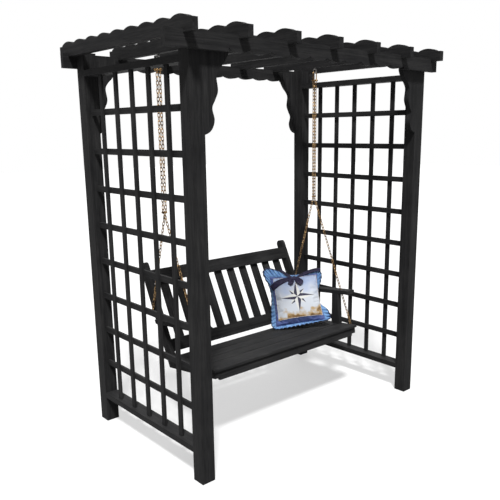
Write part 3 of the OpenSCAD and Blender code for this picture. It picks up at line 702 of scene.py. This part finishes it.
ruffleLook = {
    "width": 0.046,
    "pleats": 14,
    "steps": 14,
    "rows": 7,
    "wave": 0.0085,
    "waveGrowth": 0.8,
    "uneven": (0.3, 0.37),  # share and pace of a second wave
    "gather": 0.0014,
    "gathers": 3,
    "scallop": 0.0018,
    "round": 0.1,
    "roundPower": 8,
    "bound": 0.84,
    "thick": 0.0012,
    "tuck": 0.003,
    "cloth": ((0.085, 0.19, 0.40), (0.17, 0.32, 0.55)),
    "binding": (0.012, 0.014, 0.045),
    "weave": 240.0,
    # how far the strip shows past the seam, in mm: up, right, down, left, each clockwise
    "shown": [
        [88, 86, 66, 36, 26, 27, 30, 34, 38],
        [42, 44, 30, 5, 2, 6, 42, 56, 62],
        [16, 14, 17, 20, 23, 25, 26, 26, 26],
        [40, 43, 39, 35, 26, 19, 30, 56, 64],
    ],
    # which way the rest of its width goes: 1 behind the pillow, below 0 forward on the seat
    "folds": [
        [1, 1, 1, 1, 1, 1, 1, 1, 1],
        [1, 1, 1, 1, 1, 1, 0.8, 0.4, 0],
        [0, -0.4, -0.6, -0.6, -0.6, -0.6, -0.6, -0.4, 0],
        [0, 0.4, 0.8, 1, 1, 1, 1, 1, 1],
    ],
}


def ruffleRow(bm, look, place):
    shown = look["shown"]
    side, v = int(place) % 4, 2 * (place - int(place)) - 1
    flat = spline(shown[side], (v + 1) / 2) / 1000
    corner = (shown[side - 1][-1] if v < 0 else shown[(side + 1) % 4][0]) / 1000
    width = max(look["width"], flat)
    back = math.sqrt(width * width - flat * flat) * spline(look["folds"][side], (v + 1) / 2)
    turn = 2 * math.pi * look["pleats"] * place
    share, pace = look["uneven"]
    pleat = math.sin(turn) + share * math.sin(turn * pace + side)
    crimp = math.sin(turn * look["gathers"])
    u, w = ((v, 1), (1, -v), (-v, -1), (-1, v))[side]
    across, up = reachOf(u, w, pillowLook)
    rim = (across if side % 2 else up) - look["tuck"]
    run = (up if side % 2 else across) - look["tuck"]
    row = []
    for k in range(look["rows"]):
        out = k / (look["rows"] - 1)
        soft = 1 - look["round"] * abs(v) ** look["roundPower"] * out
        along = v * (run + corner * out) * soft
        away = (rim + (flat + look["scallop"] * pleat) * out) * soft
        x, z = ((along, away), (away, -along), (-along, -away), (-away, along))[side]
        x, z = pulled(x, z, pillowLook)
        y = back * out + look["wave"] * pleat * out ** look["waveGrowth"]
        row.append(bm.verts.new((x, y + look["gather"] * crimp * (1 - out), z)))
    return row


def ruffleForm(look):
    bm = bmesh.new()
    layer = bm.loops.layers.uv.new("strip")
    count = 4 * look["pleats"] * look["steps"]
    joinRows(bm, layer, [ruffleRow(bm, look, i / count * 4) for i in range(count)], True)
    return bm


def makeRuffleCloth(look):
    material, tree, shader = makeMaterial("gathered_cotton", Roughness=0.8, Sheen_Weight=0.05)
    uv, soft = addWeave(tree, shader, look["weave"])
    out = addNode(tree, "ShaderNodeSeparateXYZ", {0: uv}).outputs[1]
    body = addRamp(tree, soft, weaveLook["tonePlaces"], look["cloth"])
    bound = addMath(tree, "GREATER_THAN", out, look["bound"])
    feed(tree, shader.inputs["Base Color"], addMix(tree, bound, body, look["binding"]))
    return material


ruffle = meshObject("gathered_ruffle", ruffleForm(ruffleLook), makeRuffleCloth(ruffleLook))
addThickness(ruffle, ruffleLook["thick"])
print("ruffle gathered")


# The ribbon: two bands from the upper corners, a wide tail, two small loops and the knot.
# Paths, widths and lifts off the pillow's front are in mm.

bowLook = {
    "steps": 10,
    "across": 6,
    "thick": 0.0008,
    "fold": (0.0012, 1.5, 5),  # depth, turns across and drift along
    "cloth": ((0.009, 0.007, 0.024), (0.02, 0.016, 0.046)),
    "weave": 400.0,
    "strips": [
        {"path": [(-8, 166), (-30, 184), (-56, 207), (-84, 234), (-106, 255)],
         "width": [14, 20, 22, 20, 14], "lift": [9, 6, 5, 5, 5]},
        {"path": [(8, 166), (60, 187), (128, 205), (182, 212), (218, 208)],
         "width": [14, 24, 29, 29, 24], "lift": [9, 7, 7, 8, 8]},
        {"path": [(-10, 162), (-50, 163), (-104, 149), (-150, 131), (-190, 108)],
         "width": [18, 36, 48, 52, 52], "lift": [8, 6, 4, 4, 5]},
        {"path": [(6, 160), (34, 150), (52, 126), (40, 110), (22, 124), (6, 150)],
         "width": [14, 26, 30, 28, 24, 12], "lift": [7, 9, 10, 12, 12, 9]},
        {"path": [(-8, 158), (-30, 148), (-42, 128), (-32, 116), (-18, 128), (-6, 150)],
         "width": [12, 20, 24, 22, 18, 10], "lift": [7, 9, 10, 12, 12, 9]},
        {"path": [(-1, 188), (0, 174), (1, 160), (1, 148)],
         "width": [22, 26, 26, 22], "lift": [6, 15, 15, 6]},
    ],
}


def stripRow(bm, look, strip, share):
    xs, zs = zip(*strip["path"])
    x, z = spline(xs, share), spline(zs, share)
    after, before = min(share + 0.01, 1.0), max(share - 0.01, 0.0)
    dx, dz = spline(xs, after) - spline(xs, before), spline(zs, after) - spline(zs, before)
    length = math.hypot(dx, dz)
    width, lift = spline(strip["width"], share), spline(strip["lift"], share)
    depth, turns, drift = look["fold"]
    row = []
    for k in range(look["across"] + 1):
        off = k / look["across"] - 0.5
        px = (x - dz / length * off * width) / 1000
        pz = (z + dx / length * off * width) / 1000
        fold = depth * math.cos(2 * math.pi * off * turns + share * drift)
        row.append(bm.verts.new((px, frontAt(px, pz) - lift / 1000 - fold, pz)))
    return row


def bowForm(look):
    bm = bmesh.new()
    layer = bm.loops.layers.uv.new("strip")
    for strip in look["strips"]:
        count = look["steps"] * (len(strip["path"]) - 1)
        joinRows(bm, layer, [stripRow(bm, look, strip, i / count) for i in range(count + 1)], False)
    return bm


satin = makePlainCloth("navy_satin", bowLook["cloth"], bowLook["weave"], Roughness=0.55,
                       Specular_IOR_Level=0.2)
bow = meshObject("ribbon_bow", bowForm(bowLook), satin)
bowArea = sum(face.area for face in bow.data.polygons)
addThickness(bow, bowLook["thick"])
print("ribbon tied, area", round(bowArea, 4))


# The pillow goes to its place on the seat, and rides with it

placeMatrix = pillowMatrix(pillowLook)
for piece, slot in (
    (cushion, "pillow_cover"), (ruffle, "ruffle"), (bow, "ribbon"), (welt, "pillow_cover"),
):
    piece.data.transform(placeMatrix)
    piece.data.update()
    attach(piece, "seat")
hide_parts("pillow")
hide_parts("pillow_ruffle")
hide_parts("pillow_ribbon")


# Floor and light

stageLook = {
    "floor": 60.0,
    "floorColour": (0.86, 0.86, 0.86),
    "floorBounce": (0.22, 0.22, 0.22),
    "floorRough": 0.9,
    "floorGlow": 0.5,
    "white": (1, 1, 1),
    "sky": 0.22,
    "suns": [
        {"name": "sun", "strength": 4.5, "size": 8.0, "comesFrom": (-0.8, -1.0, 2.1),
         "glossy": True},
        {"name": "soft_fill", "strength": 1.7, "size": 50.0, "comesFrom": (0.8, 1.0, 0.6),
         "glossy": False},
    ],
}


# 1 where the camera, metal or glass sees the background, 0 where it lights the object
def addSeen(tree):
    path = addNode(tree, "ShaderNodeLightPath").outputs
    mirrored = addMath(tree, "MAXIMUM", path["Is Glossy Ray"], path["Is Transmission Ray"])
    return addMath(tree, "MAXIMUM", path["Is Camera Ray"], mirrored)


def addFloor(look):
    material, tree, shader = makeMaterial("pale_floor", Roughness=look["floorRough"])
    seen = addSeen(tree)
    colour = addMix(tree, seen, look["floorBounce"], look["floorColour"])
    feed(tree, shader.inputs["Base Color"], colour)
    glow = addMath(tree, "MULTIPLY", seen, look["floorGlow"])
    bright = addNode(tree, "ShaderNodeEmission", {"Color": look["white"], "Strength": 1.0})
    lit = addNode(tree, "ShaderNodeMixShader", {0: glow, 1: shader.outputs[0], 2: bright.outputs[0]})
    feed(tree, tree.nodes["Material Output"].inputs["Surface"], lit.outputs[0])
    bm = bmesh.new()
    bmesh.ops.create_grid(bm, x_segments=1, y_segments=1, size=look["floor"] / 2)
    meshObject("floor", bm, material)


def addWorld(look):
    world = bpy.data.worlds.new("studio")
    world.use_nodes = True
    scene.world = world
    tree = world.node_tree
    soft = tree.nodes["Background"]
    feed(tree, soft.inputs["Color"], look["white"])
    feed(tree, soft.inputs["Strength"], look["sky"])
    bright = addNode(tree, "ShaderNodeBackground", {"Color": look["white"], "Strength": 1.0})
    mix = addNode(tree, "ShaderNodeMixShader", {0: addSeen(tree), 1: soft.outputs[0], 2: bright.outputs[0]})
    feed(tree, tree.nodes["World Output"].inputs["Surface"], mix.outputs[0])


def addSun(look):
    light = bpy.data.lights.new(look["name"], "SUN")
    light.energy = look["strength"]
    light.angle = math.radians(look["size"])
    lamp = bpy.data.objects.new(look["name"], light)
    lamp.rotation_euler = Vector(look["comesFrom"]).to_track_quat("Z", "Y").to_euler()
    lamp.visible_glossy = look["glossy"]
    scene.collection.objects.link(lamp)


addFloor(stageLook)
addWorld(stageLook)
for sun in stageLook["suns"]:
    addSun(sun)
